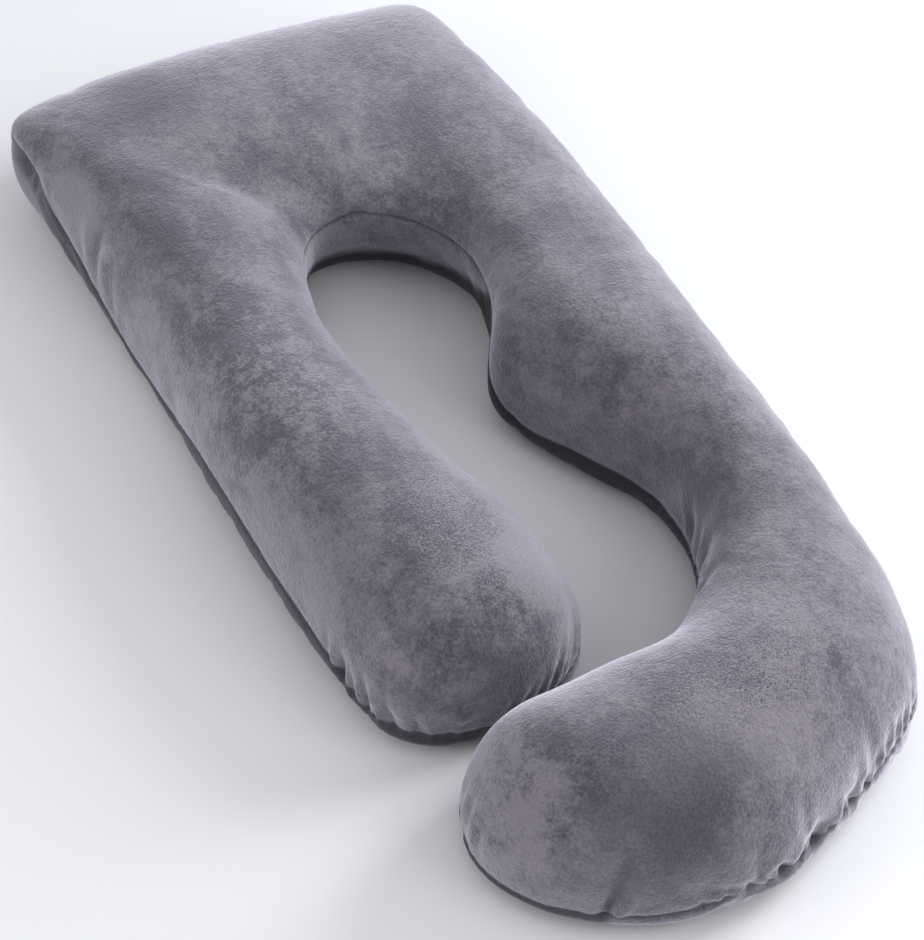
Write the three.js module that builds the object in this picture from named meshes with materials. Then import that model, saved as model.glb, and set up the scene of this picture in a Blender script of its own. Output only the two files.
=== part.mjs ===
// A full-body nursing pillow with one straight arm and one J-shaped arm, lying on its back.
// Millimetres, +Z up, +Y towards the head end, +X towards the hooked arm.
// The origin is the middle of the footprint's box, on the floor.
//
// The cover is two plush panels, a top and a bottom one, joined by one seam that runs all the way
// round, and the pillow is one filled body. It is drawn here as half-ribs: each one runs from the
// crown line in the middle of the limb over the top panel to the seam, and on under the bottom
// panel to the flat patch that rests on the floor.
import * as THREE from 'three';

const PLUSH_COLOUR = 0x74717e;
const PLUSH_ROUGHNESS = 0.9;

// The top panel is a superellipse from the crown to the seam, with one power across and one up.
const TOP_POWER_ACROSS = 2.4;
const TOP_POWER_UP = 2.0;
// The bottom panel bulges a little under the seam and turns under in a quarter superellipse.
const UNDER_POWER = 2.6;
const UNDER_BULGE = 6;
// The thread draws the seam in between the two panels.
const SEAM_DRAW = 4;
// The rows of the mesh, as angles from the crown at 0 to the seam at 90 and the flat patch at 180.
const ROWS = [22, 42, 58, 71, 81, 86, 90, 94, 108, 132, 180];

// A table of named columns, as a list of objects.
const table = (columns, rows) => rows.map(
  (row) => Object.fromEntries(columns.map((column, k) => [column, row[k]])),
);

// Each row is a section across the limb, from the arm's end round the head to the hook's tip:
// the seam on the inner side and on the outer side in plan, the height of the crown, the height
// of the seam on either side, how far the bottom panel turns in under either seam before it lies
// flat, and the spacing of the half-ribs up to the next section.
const RIBS = table(
  ['name', 'inX', 'inY', 'outX', 'outY', 'crown', 'inSeam', 'outSeam', 'inTurn', 'outTurn', 'step'],
  [
    ['arm end', -24, -295, -284, -295, 177, 75, 28, 82, 96, 8],
    ['arm low', -37, -205, -293, -205, 184, 84, 48, 56, 68, 20],
    ['arm middle', -66, -100, -295, -100, 185, 91, 55, 45, 56, 36],
    ['arm high', -95, 50, -295, 60, 180, 100, 57, 45, 61, 36],
    ['arm top', -99, 165, -291, 200, 172, 99, 42, 45, 63, 30],
    ['left neck low', -89, 227, -290, 326, 171, 98, 40, 45, 64, 30],
    ['left neck', -77, 274, -294, 454, 171, 101, 65, 50, 58, 30],
    ['left neck high', -62, 308, -300, 581, 169, 97, 97, 58, 57, 15],
    ['left corner', -52, 321, -294, 672, 166, 97, 122, 60, 56, 18],
    ['head left', -35, 336, -187, 705, 169, 99, 115, 70, 51, 30],
    ['head middle', -8, 341, -58, 713, 171, 104, 105, 76, 47, 30],
    ['head right', 19, 333, 71, 706, 171, 115, 101, 80, 45, 30],
    ['head end', 41, 320, 179, 691, 169, 114, 102, 80, 45, 18],
    ['right corner', 66, 302, 271, 665, 166, 113, 102, 80, 45, 15],
    ['right neck high', 87, 275, 293, 561, 169, 112, 103, 80, 45, 30],
    ['right neck', 106, 236, 302, 442, 171, 110, 103, 80, 45, 28],
    ['right neck low', 112, 187, 308, 317, 171, 109, 101, 75, 45, 28],
    ['back top', 96, 114, 307, 191, 172, 104, 100, 59, 45, 20],
    ['bump top', 58, 43, 306, 87, 177, 62, 100, 60, 45, 18],
    ['bump', 70, -15, 300, -15, 185, 38, 102, 56, 45, 24],
    ['bump low', 100, -89, 295, -106, 184, 46, 104, 47, 45, 24],
    ['bay top', 140, -174, 293, -195, 177, 46, 104, 47, 45, 20],
    ['bay', 147, -248, 289, -295, 172, 46, 104, 53, 45, 20],
    ['bay low', 130, -315, 280, -395, 172, 51, 105, 56, 45, 18],
    ['hook top', 99, -368, 267, -501, 177, 78, 104, 53, 45, 10],
    ['hook right', 58, -409, 229, -603, 181, 86, 96, 50, 47, 6],
    ['hook middle', 7, -437, 138, -666, 185, 86, 68, 50, 64, 6],
    ['hook left', -66, -434, 20, -709, 185, 77, 42, 60, 82, 14],
    ['hook tip', -144, -432, -105, -704, 181, 58, 38, 76, 92, 14],
  ],
);

// Both free ends are rounded past their last section, in a superellipse out to this point, with
// this spacing of the half-ribs round it.
const ARM_CAP = { x: -158, y: -402, power: 2.3, step: 5 };
const HOOK_CAP = { x: -266, y: -555, power: 2.2, step: 9 };
// The length of a cap's seam, as its reach past the section and this share of the section's width.
const CAP_WIDTH_SHARE = 0.75;

// Stretches of the seam where the cloth is gathered. Distances along the seam start at the outer
// side of the arm's end and run up the arm, round the head and down the back to the hook's tip,
// then back along the inner side and round the arm's end. Pitch is the spacing of the puckers,
// depth how deep they are, and up and down how far they reach over the top and bottom panels.
const GATHERS = table(
  ['name', 'from', 'to', 'pitch', 'depth', 'up', 'down'],
  [
    ['left edge', 90, 860, 85, 2, 60, 20],
    ['head edge', 1130, 1420, 48, 3, 75, 20],
    ['back edge', 1650, 2680, 95, 2, 60, 20],
    ['hook back', 2830, 3150, 24, 6, 60, 18],
    ['hook tip', 3425, 3510, 26, 3, 70, 20],
    ['inner bay', 3880, 4040, 34, 3, 45, 20],
    ['arm end, inner', 5460, 5640, 17, 2.5, 70, 15],
    ['arm end, outer', 5655, 5800, 20, 5, 55, 16],
  ],
);

// Single folds, each a trough across the seam, or a ridge where its depth is below zero.
const FOLDS = table(
  ['name', 'at', 'wide', 'depth', 'up', 'down'],
  [
    ['notch at the arm end', 18, 8, 10, 50, 24],
    ['crease of the left edge', 718, 14, 4, 75, 10],
    ['ridge under the corner', 868, 7, -5, 0, 70],
    ['tuck at the corner', 908, 34, 9, 14, 26],
    ['upper ridge under the corner', 892, 7, -5, 0, 70],
    ['deep pucker of the hook', 3048, 9, 8, 60, 24],
    ['fold under the hook', 3300, 9, 6, 95, 30],
  ],
);

// A pucker is a bell of this share of its pitch in width, and fades out along the panel with this
// power. Its place strays by up to a share of the pitch, and its depth by up to a share of itself.
const PUCKER_WIDTH_SHARE = 0.3;
const FADE_POWER = 1.5;
const PITCH_STRAY = 0.3;
const DEPTH_STRAY = 0.5;

const degrees = Math.PI / 180;
const mix = (a, b, t) => a + (b - a) * t;
const middle = (rib) => new THREE.Vector2((rib.inX + rib.outX) / 2, (rib.inY + rib.outY) / 2);

// A repeatable uneven number between -1 and 1 for the nth pucker: two waves out of step.
const WAVES = { place: { fast: 13, slow: 4.1, start: 4.1 }, depth: { fast: 7.3, slow: 5.2, start: 1.7 } };
const uneven = (n, wave) => Math.sin(n * wave.fast + wave.start) * Math.cos(n * wave.slow);

// A section between two rows of the table, on the smooth curve through their neighbours.
function sectionAt(index, t) {
  const row = (k) => RIBS[THREE.MathUtils.clamp(k, 0, RIBS.length - 1)];
  const [before, from, to, after] = [row(index - 1), row(index), row(index + 1), row(index + 2)];
  const blend = (column) => {
    const [p0, p1, p2, p3] = [before[column], from[column], to[column], after[column]];
    const square = 2 * p0 - 5 * p1 + 4 * p2 - p3;
    const cube = 3 * p1 - p0 - 3 * p2 + p3;
    return 0.5 * (2 * p1 + (p2 - p0) * t + square * t * t + cube * t * t * t);
  };
  const columns = Object.keys(from).filter((column) => column !== 'name' && column !== 'step');
  return Object.fromEntries(columns.map((column) => [column, blend(column)]));
}

// All sections from the arm's end to the hook's tip, close together where the cloth is gathered.
function makeSections() {
  const sections = [];
  for (let k = 0; k + 1 < RIBS.length; k += 1) {
    const [a, b] = [RIBS[k], RIBS[k + 1]];
    const inner = Math.hypot(b.inX - a.inX, b.inY - a.inY);
    const outer = Math.hypot(b.outX - a.outX, b.outY - a.outY);
    const count = Math.max(1, Math.round(Math.max(inner, outer) / a.step));
    for (let n = 0; n < count; n += 1) sections.push(sectionAt(k, n / count));
  }
  sections.push(RIBS[RIBS.length - 1]);
  return sections;
}

// The inner or the outer half of each section.
const outerRib = (rib, station) => ({
  station,
  centre: middle(rib),
  seam: new THREE.Vector2(rib.outX, rib.outY),
  crown: rib.crown,
  seamHeight: rib.outSeam,
  turn: rib.outTurn,
});
const innerRib = (rib, station) => ({
  station,
  centre: middle(rib),
  seam: new THREE.Vector2(rib.inX, rib.inY),
  crown: rib.crown,
  seamHeight: rib.inSeam,
  turn: rib.inTurn,
});

// The half-ribs of one free end, fanned round the middle of its last section from one side's
// half-rib to the other's.
function capRibs(first, last, cap) {
  const tip = new THREE.Vector2(cap.x, cap.y).sub(first.centre);
  const around = first.seam.distanceTo(last.seam) * CAP_WIDTH_SHARE + tip.length();
  const count = Math.round(around / cap.step);
  const ribs = [];
  for (let n = 1; n < count; n += 1) {
    const angle = (n / count) * Math.PI;
    const across = Math.abs(Math.cos(angle)) ** (2 / cap.power);
    const side = angle < Math.PI / 2 ? first : last;
    const seam = first.centre.clone().lerp(side.seam, across);
    seam.addScaledVector(tip, Math.sin(angle) ** (2 / cap.power));
    ribs.push({
      ...first,
      seam,
      seamHeight: mix(first.seamHeight, last.seamHeight, n / count),
      turn: mix(first.turn, last.turn, n / count),
    });
  }
  return ribs;
}

// The closed ring of half-ribs, each with its distance along the seam.
function makeHalfRibs(sections) {
  const outer = sections.map(outerRib);
  const inner = sections.map(innerRib).reverse();
  const end = sections.length - 1;
  const ring = [
    ...outer,
    ...capRibs(outer[end], inner[0], HOOK_CAP),
    ...inner,
    ...capRibs(inner[end], outer[0], ARM_CAP),
  ];
  let along = 0;
  ring.forEach((rib, n) => {
    if (n > 0) along += rib.seam.distanceTo(ring[n - 1].seam);
    rib.along = along;
  });
  const around = along + ring[0].seam.distanceTo(ring[ring.length - 1].seam);
  ring.forEach((rib) => { rib.around = around; });
  return ring;
}

// One point of a half-rib's profile: the distance from the crown line, and the height. The
// angle runs from 0 at the crown to 90 at the seam, and on to 180 at the flat patch.
function profile(rib, angle) {
  const reach = rib.centre.distanceTo(rib.seam);
  const [s, c] = [Math.sin(angle * degrees), Math.abs(Math.cos(angle * degrees))];
  if (angle <= 90) {
    const rise = (rib.crown - rib.seamHeight) * c ** (2 / TOP_POWER_UP);
    return [reach * s ** (2 / TOP_POWER_ACROSS), rib.seamHeight + rise];
  }
  const left = 1 - c ** (2 / UNDER_POWER);
  const inward = rib.turn * (1 - s ** (2 / UNDER_POWER));
  return [reach - inward + UNDER_BULGE * Math.sin(Math.PI * left), rib.seamHeight * left];
}

// How far the puckers and folds draw a half-rib in, at a distance away from its seam.
function pull(rib, away, above) {
  const fade = (reach) => (away < reach ? (1 - away / reach) ** FADE_POWER : 0);
  const bell = (at, wide) => {
    const apart = Math.abs(rib.along - at) % rib.around;
    return Math.exp(-((Math.min(apart, rib.around - apart) / wide) ** 2));
  };
  let depth = 0;
  GATHERS.forEach((gather) => {
    const count = Math.round((gather.to - gather.from) / gather.pitch);
    for (let n = 0; n <= count; n += 1) {
      const at = gather.from + (n + PITCH_STRAY * uneven(n, WAVES.place)) * gather.pitch;
      const deep = gather.depth * (1 + DEPTH_STRAY * uneven(n, WAVES.depth));
      const wide = gather.pitch * PUCKER_WIDTH_SHARE;
      depth += deep * bell(at, wide) * fade(above ? gather.up : gather.down);
    }
  });
  FOLDS.forEach((fold) => {
    depth += fold.depth * bell(fold.at, fold.wide) * fade(above ? fold.up : fold.down);
  });
  return depth;
}

// The point of a half-rib at one angle, with the seam and the gathers drawn in.
function pointAt(rib, angle) {
  const [out, height] = profile(rib, angle);
  const [outBefore, heightBefore] = profile(rib, angle - 1);
  const [seamOut] = profile(rib, 90);
  const slope = Math.hypot(out - outBefore, height - heightBefore);
  const outward = rib.seam.clone().sub(rib.centre).normalize();
  const away = Math.hypot(seamOut - out, rib.seamHeight - height);
  const drawn = pull(rib, away, angle <= 90) + (angle === 90 ? SEAM_DRAW : 0);
  const moved = out - (drawn * (heightBefore - height)) / slope;
  const lifted = Math.max(0, height - (drawn * (out - outBefore)) / slope);
  return [rib.centre.x + outward.x * moved, rib.centre.y + outward.y * moved, lifted];
}

function pillowGeometry() {
  const sections = makeSections();
  const ring = makeHalfRibs(sections);
  const points = [];
  sections.forEach((rib) => points.push([middle(rib).x, middle(rib).y, rib.crown]));
  sections.forEach((rib) => points.push([middle(rib).x, middle(rib).y, 0]));
  ring.forEach((rib) => ROWS.forEach((angle) => points.push(pointAt(rib, angle))));

  // The crown and the middle of the flat patch are shared by both halves of a section.
  const pointOf = (column, row) => {
    if (row < 0) return ring[column].station;
    if (row === ROWS.length) return sections.length + ring[column].station;
    return 2 * sections.length + column * ROWS.length + row;
  };
  const triangles = [];
  const addTriangle = (a, b, c) => {
    if (a !== b && b !== c && c !== a) triangles.push(a, b, c);
  };
  for (let column = 0; column < ring.length; column += 1) {
    const next = (column + 1) % ring.length;
    for (let row = -1; row < ROWS.length; row += 1) {
      const [a, b] = [pointOf(column, row), pointOf(next, row)];
      const [c, d] = [pointOf(next, row + 1), pointOf(column, row + 1)];
      addTriangle(a, b, c);
      addTriangle(a, c, d);
    }
  }

  const geometry = new THREE.BufferGeometry();
  geometry.setAttribute('position', new THREE.Float32BufferAttribute(points.flat(), 3));
  geometry.setIndex(triangles);
  geometry.computeVertexNormals();
  geometry.computeBoundingBox();
  const { min, max } = geometry.boundingBox;
  geometry.translate(-(min.x + max.x) / 2, -(min.y + max.y) / 2, 0);
  return geometry;
}

const plush = new THREE.MeshStandardMaterial({
  color: PLUSH_COLOUR, roughness: PLUSH_ROUGHNESS, metalness: 0,
});
const pillow = new THREE.Mesh(pillowGeometry(), plush);
pillow.name = 'pillow';

const group = new THREE.Group();
group.add(pillow);

export default group;
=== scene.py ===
# %% [markdown]
# # A full-body nursing pillow in grey-lavender plush
# The pillow lies on its back. Its cover is two panels of short plush, a top one and a bottom one,
# joined by a single seam that runs all the way round the loop, and it is stuffed with loose fibre.
# This notebook builds that cover as one fine mesh round the fixed frame's solid, lets the filling
# blow it up a little with Blender's cloth simulation, presses in the seam, the puckers and the
# creases, and gives it a plush finish.

# %% Load the fixed frame
import math

import bpy
import numpy as np
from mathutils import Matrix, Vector


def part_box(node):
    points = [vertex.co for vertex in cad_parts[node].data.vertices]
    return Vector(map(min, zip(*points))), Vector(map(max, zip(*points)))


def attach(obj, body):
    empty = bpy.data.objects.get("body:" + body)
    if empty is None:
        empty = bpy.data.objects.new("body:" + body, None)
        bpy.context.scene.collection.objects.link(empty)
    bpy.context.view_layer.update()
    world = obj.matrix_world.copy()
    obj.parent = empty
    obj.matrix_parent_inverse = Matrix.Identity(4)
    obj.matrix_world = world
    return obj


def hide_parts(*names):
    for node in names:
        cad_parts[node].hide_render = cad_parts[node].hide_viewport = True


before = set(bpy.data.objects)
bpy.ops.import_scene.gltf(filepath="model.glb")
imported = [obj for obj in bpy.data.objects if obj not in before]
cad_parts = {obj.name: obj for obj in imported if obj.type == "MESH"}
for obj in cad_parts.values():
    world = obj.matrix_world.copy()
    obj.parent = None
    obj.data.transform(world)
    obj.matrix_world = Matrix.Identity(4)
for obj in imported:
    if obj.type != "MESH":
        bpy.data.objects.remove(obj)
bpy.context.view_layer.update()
MM = 0.001

# %% [markdown]
# ## The limb's sections
# On the real pillow the maker cuts both panels round one paper pattern. A long soft limb could be
# drawn as a curve with a thickness, but this one changes its width, its crown and the height of its
# seam all the way along. So it is given by sections across the limb, from the straight arm's end
# round the head and down to the hook's tip. They follow the frame's solid, in millimetres: the seam on
# the inner and on the outer side in plan, the height of the crown and of the seam on either side,
# and how far the bottom panel turns in before it lies flat. A few differ from the solid's: the seam
# runs up to 25 mm lower round the hook's right side and on the inner side of the arm's end, and it
# moves by up to 10 mm in plan. The last column is the spacing of the mesh's columns up to the
# next section, close where the cloth gathers.

# %% The table of sections
COLUMNS = ("in_x", "in_y", "out_x", "out_y", "crown",
           "in_seam", "out_seam", "in_turn", "out_turn", "step")
SECTIONS = {
    "arm end": (-24, -295, -289, -295, 177, 56, 37, 82, 92, 3.5),
    "arm low": (-37, -205, -298, -205, 184, 84, 60, 56, 68, 6),
    "arm middle": (-66, -100, -300, -100, 185, 91, 61, 45, 56, 7),
    "arm high": (-95, 50, -300, 60, 180, 100, 66, 45, 61, 7),
    "arm top": (-99, 165, -294, 200, 172, 99, 42, 45, 63, 7),
    "left neck low": (-89, 227, -293, 326, 171, 98, 33, 45, 64, 7),
    "left neck": (-77, 274, -296, 454, 171, 101, 65, 50, 58, 7),
    "left neck high": (-62, 308, -300, 581, 169, 97, 105, 58, 57, 4),
    "left corner": (-52, 321, -294, 672, 166, 97, 122, 60, 56, 4),
    "head left": (-35, 336, -187, 705, 169, 99, 115, 62, 51, 6),
    "head middle": (-8, 341, -58, 713, 171, 104, 105, 66, 47, 5),
    "head right": (19, 333, 71, 706, 171, 115, 101, 72, 45, 5),
    "head end": (41, 320, 179, 691, 169, 114, 102, 80, 45, 5),
    "right corner": (66, 302, 271, 665, 166, 113, 102, 80, 45, 5),
    "right neck high": (87, 275, 293, 561, 169, 112, 103, 80, 45, 7),
    "right neck": (106, 236, 302, 442, 171, 110, 103, 80, 45, 7),
    "right neck low": (112, 187, 308, 317, 171, 109, 101, 75, 45, 7),
    "back top": (96, 114, 307, 191, 172, 104, 100, 59, 45, 6),
    "bump top": (57, 42, 306, 87, 177, 62, 100, 60, 45, 6),
    "bump": (67, -18, 300, -15, 185, 38, 102, 56, 45, 6),
    "bump low": (97, -92, 295, -106, 184, 46, 104, 47, 45, 6),
    "bay top": (137, -176, 293, -195, 177, 46, 104, 47, 45, 6),
    "bay": (145, -248, 289, -295, 172, 46, 104, 53, 45, 6),
    "bay low": (130, -315, 280, -395, 172, 51, 105, 56, 45, 5),
    "hook top": (99, -368, 269, -501, 177, 78, 98, 53, 45, 4),
    "hook right": (58, -409, 232, -603, 181, 86, 72, 50, 50, 3),
    "hook middle": (7, -437, 136, -664, 185, 86, 50, 50, 64, 3),
    "hook left": (-66, -434, 19, -713, 185, 77, 42, 60, 82, 4),
    "hook low": (-105, -433, -40, -721, 183, 68, 41, 68, 87, 4),
    "hook tip": (-144, -432, -105, -714, 181, 58, 41, 76, 92, 4),
}
ARM_CAP = {"x": -158, "y": -402, "power": 2.3, "step": 3.5, "width_share": 0.75, "seam_drop": 14}
HOOK_CAP = {"x": -270, "y": -551, "power": 1.87, "step": 4, "width_share": 0.75, "seam_drop": 25}
print(len(SECTIONS), "sections")

# %% [markdown]
# ## A ring of half-ribs
# A smooth curve through the table's neighbours gives as many sections between its rows as the mesh
# needs. Each section has two half-ribs, one from the crown line to the inner seam and one to the
# outer seam. Put one after another, with a fan of ribs round each free end, the half-ribs make one
# closed ring that follows the seam. A coarse ring serves the simulation and a fine one the cover.

# %% Sections between the rows of the table
ROWS = np.array(list(SECTIONS.values()), float)
SEAM_HEIGHT = 5


def smooth_sections(coarseness):
    """All sections from the arm's end to the hook's tip, on a curve through the table's rows."""
    found = []
    last = len(ROWS) - 1
    for k in range(last):
        before, start, end, after = ROWS[max(k - 1, 0)], ROWS[k], ROWS[k + 1], ROWS[min(k + 2, last)]
        inner = math.hypot(end[0] - start[0], end[1] - start[1])
        outer = math.hypot(end[2] - start[2], end[3] - start[3])
        count = max(1, round(max(inner, outer) / (start[-1] * coarseness)))
        for t in np.arange(count) / count:
            square = 2 * before - 5 * start + 4 * end - after
            cube = 3 * start - before - 3 * end + after
            found.append(0.5 * (2 * start + (end - before) * t + square * t**2 + cube * t**3))
    found.append(ROWS[last])
    return np.array(found)


# %% The ring of half-ribs
def half_ribs(sections, side):
    """The half-ribs of one side: where each starts and ends in plan, and its heights."""
    at = {name: sections[:, k] for k, name in enumerate(COLUMNS)}
    middle = np.column_stack([(at["in_x"] + at["out_x"]) / 2, (at["in_y"] + at["out_y"]) / 2])
    seam = np.column_stack([at[side + "_x"], at[side + "_y"]])
    heights = np.column_stack([at["crown"], at[side + "_seam"], at[side + "_turn"]])
    return np.column_stack([middle, seam, heights, np.arange(len(sections))])


def cap_ribs(first, last, cap, coarseness):
    """The fan of half-ribs round a free end, from one side's half-rib to the other's."""
    centre = first[:2]
    tip = np.array([cap["x"], cap["y"]]) - centre
    around = np.linalg.norm(first[2:4] - last[2:4]) * cap["width_share"] + np.linalg.norm(tip)
    share = np.arange(1, round(around / (cap["step"] * coarseness)))[:, None]
    share = share / (len(share) + 1)
    across = np.abs(np.cos(share * math.pi)) ** (2 / cap["power"])
    side = np.where(share < 0.5, first[2:4], last[2:4])
    seam = centre + (side - centre) * across + tip * np.sin(share * math.pi) ** (2 / cap["power"])
    ribs = first + (last - first) * share
    ribs[:, 2:4] = seam
    ribs[:, SEAM_HEIGHT] -= cap["seam_drop"] * np.sin(share[:, 0] * math.pi) ** 2
    return ribs


def ring_of_ribs(coarseness):
    """Every half-rib in order along the seam, and its distance along the seam."""
    sections = smooth_sections(coarseness)
    outer = half_ribs(sections, "out")
    inner = half_ribs(sections, "in")[::-1]
    hook_cap = cap_ribs(outer[-1], inner[0], HOOK_CAP, coarseness)
    arm_cap = cap_ribs(inner[-1], outer[0], ARM_CAP, coarseness)
    ring = np.vstack([outer, hook_cap, inner, arm_cap])
    steps = np.linalg.norm(np.diff(ring[:, 2:4], axis=0, append=ring[:1, 2:4]), axis=1)
    along = np.concatenate([[0], np.cumsum(steps)[:-1]])
    return ring, along, steps.sum()


ring, along, SEAM_LENGTH = ring_of_ribs(1)
print("half-ribs:", len(ring), " seam in mm:", round(SEAM_LENGTH))

# %% [markdown]
# ## The stuffed profile
# Stuffed cloth takes a round profile: steep at the seam, nearly level at the crown. A superellipse
# gives that with two numbers. The bottom panel bulges a little under the seam and turns in to the
# flat patch that the pillow lies on. The rows of the mesh are spaced by their distance from the
# seam over the cloth, close beside the seam, where the groove and the puckers are, and wide at the
# crown, where the cloth is smooth.

# %% One profile, by distance from the seam
TOP_POWER_ACROSS = 2.4
TOP_POWER_UP = 2.0
UNDER_POWER = 2.6
BULGE_OF_SEAM_HEIGHT = 0.06
ANGLES = np.radians(np.linspace(0, 90, 181))


def top_profile(reach, crown, seam):
    """Distance out from the crown line and height over the floor, from the seam up to the crown."""
    out = reach * np.sin(ANGLES[::-1]) ** (2 / TOP_POWER_ACROSS)
    return out, seam + (crown - seam) * np.cos(ANGLES[::-1]) ** (2 / TOP_POWER_UP)


def under_profile(reach, seam, turn):
    """The same from the seam down to the edge of the flat patch."""
    left = 1 - np.sin(ANGLES) ** (2 / UNDER_POWER)
    inward = turn * (1 - np.cos(ANGLES) ** (2 / UNDER_POWER))
    bulge = BULGE_OF_SEAM_HEIGHT * seam * np.sin(math.pi * left)
    return reach - inward + bulge, seam * left


def spaced(out, height, shares):
    """Points of a profile at the given shares of its length, and their distances from its start."""
    length = np.concatenate([[0], np.cumsum(np.hypot(np.diff(out), np.diff(height)))])
    at = shares * length[-1]
    return np.interp(at, length, out), np.interp(at, length, height), at


# %% The whole grid of points
TOP_EVENNESS = 0.24
UNDER_EVENNESS = 0.4
CROWDING_POWER = 2.2


def row_shares(count, evenness):
    """Shares from 0 at the seam to 1, close together at the seam."""
    step = np.linspace(0, 1, count + 1)
    return evenness * step + (1 - evenness) * step**CROWDING_POWER


def grid_of_points(ring, top_rows, under_rows, flat_rows):
    """Points of the cover by half-rib and row, from the crown down to the middle of the flat patch,
    and how far each lies from the seam: above it more than 0, below it less."""
    tops = row_shares(top_rows, TOP_EVENNESS)
    unders = row_shares(under_rows, UNDER_EVENNESS)[1:]
    points, away = [], []
    for x, y, seam_x, seam_y, crown, seam, turn, _ in ring:
        reach = math.hypot(seam_x - x, seam_y - y)
        out, height, far = spaced(*top_profile(reach, crown, seam), tops)
        below, low, deep = spaced(*under_profile(reach, seam, turn), unders)
        flat = below[-1] * (1 - np.arange(1, flat_rows + 1) / flat_rows)
        out = np.concatenate([out[::-1], below, flat])
        height = np.concatenate([height[::-1], low, np.zeros(flat_rows)])
        away.append(np.concatenate([far[::-1], -deep, flat - below[-1] - deep[-1]]))
        direction = np.array([seam_x - x, seam_y - y]) / reach
        plan = np.array([x, y]) + out[:, None] * direction
        points.append(np.column_stack([plan, height]))
    return np.array(points), np.array(away)


FINE_ROWS = {"top_rows": 34, "under_rows": 18, "flat_rows": 4}
points, away = grid_of_points(ring, **FINE_ROWS)
print("grid of", points.shape[0], "by", points.shape[1])

# %% [markdown]
# ## From grid to mesh
# Both half-ribs of a section meet at the crown and again under the pillow, and a fan's ribs all
# meet in one point. So the first and the last row of the grid share their points by section, and
# the others stay single. Each point keeps its place along the seam and its distance from it, and
# the folds and the nap are laid out by these two.

# %% Vertices and faces
def shared_numbers(ring, rows):
    """The vertex number of each grid point, and the first grid point of each vertex."""
    station = np.round(ring[:, -1]).astype(int)
    sections = station.max() + 1
    inner = np.arange(len(ring) * (rows - 2)).reshape(len(ring), rows - 2) + 2 * sections
    numbers = np.column_stack([station, inner, station + sections])
    _, first = np.unique(numbers, return_index=True)
    return numbers, first


def faces_of(numbers):
    """Quads between neighbouring half-ribs, and triangles where two of their points are shared."""
    beside = np.roll(numbers, -1, axis=0)
    quads = np.stack([numbers[:, :-1], beside[:, :-1], beside[:, 1:], numbers[:, 1:]], axis=-1)
    faces = []
    for quad in quads.reshape(-1, 4).tolist():
        corners = list(dict.fromkeys(quad))
        if len(corners) > 2:
            faces.append(corners)
    return faces


def mesh_object(name, vertices, faces):
    """A new object in the scene, with its vertices in metres."""
    mesh = bpy.data.meshes.new(name)
    mesh.from_pydata(vertices.tolist(), [], faces)
    mesh.update()
    made = bpy.data.objects.new(name, mesh)
    bpy.context.scene.collection.objects.link(made)
    return made


def outward(vertices, faces):
    """The cover's outward direction at each vertex, from the faces round it."""
    quads = np.array([face if len(face) == 4 else face + face[-1:] for face in faces])
    across = vertices[quads[:, 2]] - vertices[quads[:, 0]]
    beside = vertices[quads[:, 3]] - vertices[quads[:, 1]]
    normal = np.cross(across, beside)
    total = np.zeros_like(vertices)
    for corner in range(4):
        for axis in range(3):
            total[:, axis] += np.bincount(quads[:, corner], normal[:, axis], len(vertices))
    return total / np.linalg.norm(total, axis=1, keepdims=True)


numbers, first = shared_numbers(ring, points.shape[1])
faces = faces_of(numbers)
cover = points.reshape(-1, 3)[first]
print("vertices:", len(cover), " faces:", len(faces))

# %% [markdown]
# ## Evening the cloth
# The straight lines between sections leave faint ridges where the limb turns at the head. Cloth
# that is pulled tight over filling has none. Many small rounds of smoothing take them away, and what
# they take from the pillow's size is given back smooth. The seam and the flat patch hold still.

# %% Smooth the cover away from the seam
STILL_WITHIN = 8
FREE_BEYOND = 70
SMOOTHING_ROUNDS = 70


def eased(edge, full, value):
    """0 below edge, 1 above full, and a smooth rise between."""
    t = np.clip((value - edge) / (full - edge), 0, 1)
    return t * t * (3 - 2 * t)


def neighbours(faces):
    """Both ends of every edge, once in each direction."""
    quads = np.array([face if len(face) == 4 else face + face[-1:] for face in faces])
    ends = np.vstack([quads[:, [0, 1]], quads[:, [1, 2]], quads[:, [2, 3]], quads[:, [3, 0]]])
    ends = ends[ends[:, 0] != ends[:, 1]]
    return np.vstack([ends, ends[:, ::-1]])


def spread(values, edges, rounds, freedom=1.0):
    """Values at the vertices, each drawn halfway to the mean of its neighbours, round by round."""
    count = np.bincount(edges[:, 0], minlength=len(values))
    values = values.copy()
    for _ in range(rounds):
        mean = np.column_stack([
            np.bincount(edges[:, 0], values[edges[:, 1], axis], len(values)) / count
            for axis in range(values.shape[1])
        ])
        values += (mean - values) * 0.5 * freedom
    return values


def evened(vertices, edges, far, rounds):
    """The cover without its ridges, and no smaller: what the smoothing took is given back smooth."""
    freedom = eased(STILL_WITHIN, FREE_BEYOND, far)[:, None]
    smooth = spread(vertices, edges, rounds, freedom)
    return smooth + spread(vertices - smooth, edges, rounds, freedom)


far = away.reshape(-1)[first]
edges = neighbours(faces)
cover = evened(cover, edges, far, SMOOTHING_ROUNDS)
print("highest point after smoothing, in mm:", round(cover[:, 2].max(), 1))

# %% [markdown]
# ## Letting the filling push
# Loose fibre pushes the cloth out everywhere, and the cloth gives most where it is slack. That
# could be faked with noise, but the folds would then ignore the seam. Here a coarse copy of the
# cover is a Cloth with pressure inside and no gravity. Its edge is cut shorter than its panels
# where the real one is gathered, and its panels a little larger, so that the slack gathers into
# puckers by itself. The flat patch is pinned to the floor. Only the uneven part of the movement is
# kept, and it is capped, so that the pillow keeps its measured size. It is carried over to the fine
# cover by distance along the seam and by row, in a smaller share where the seam is tight than where
# it is gathered.

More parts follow.
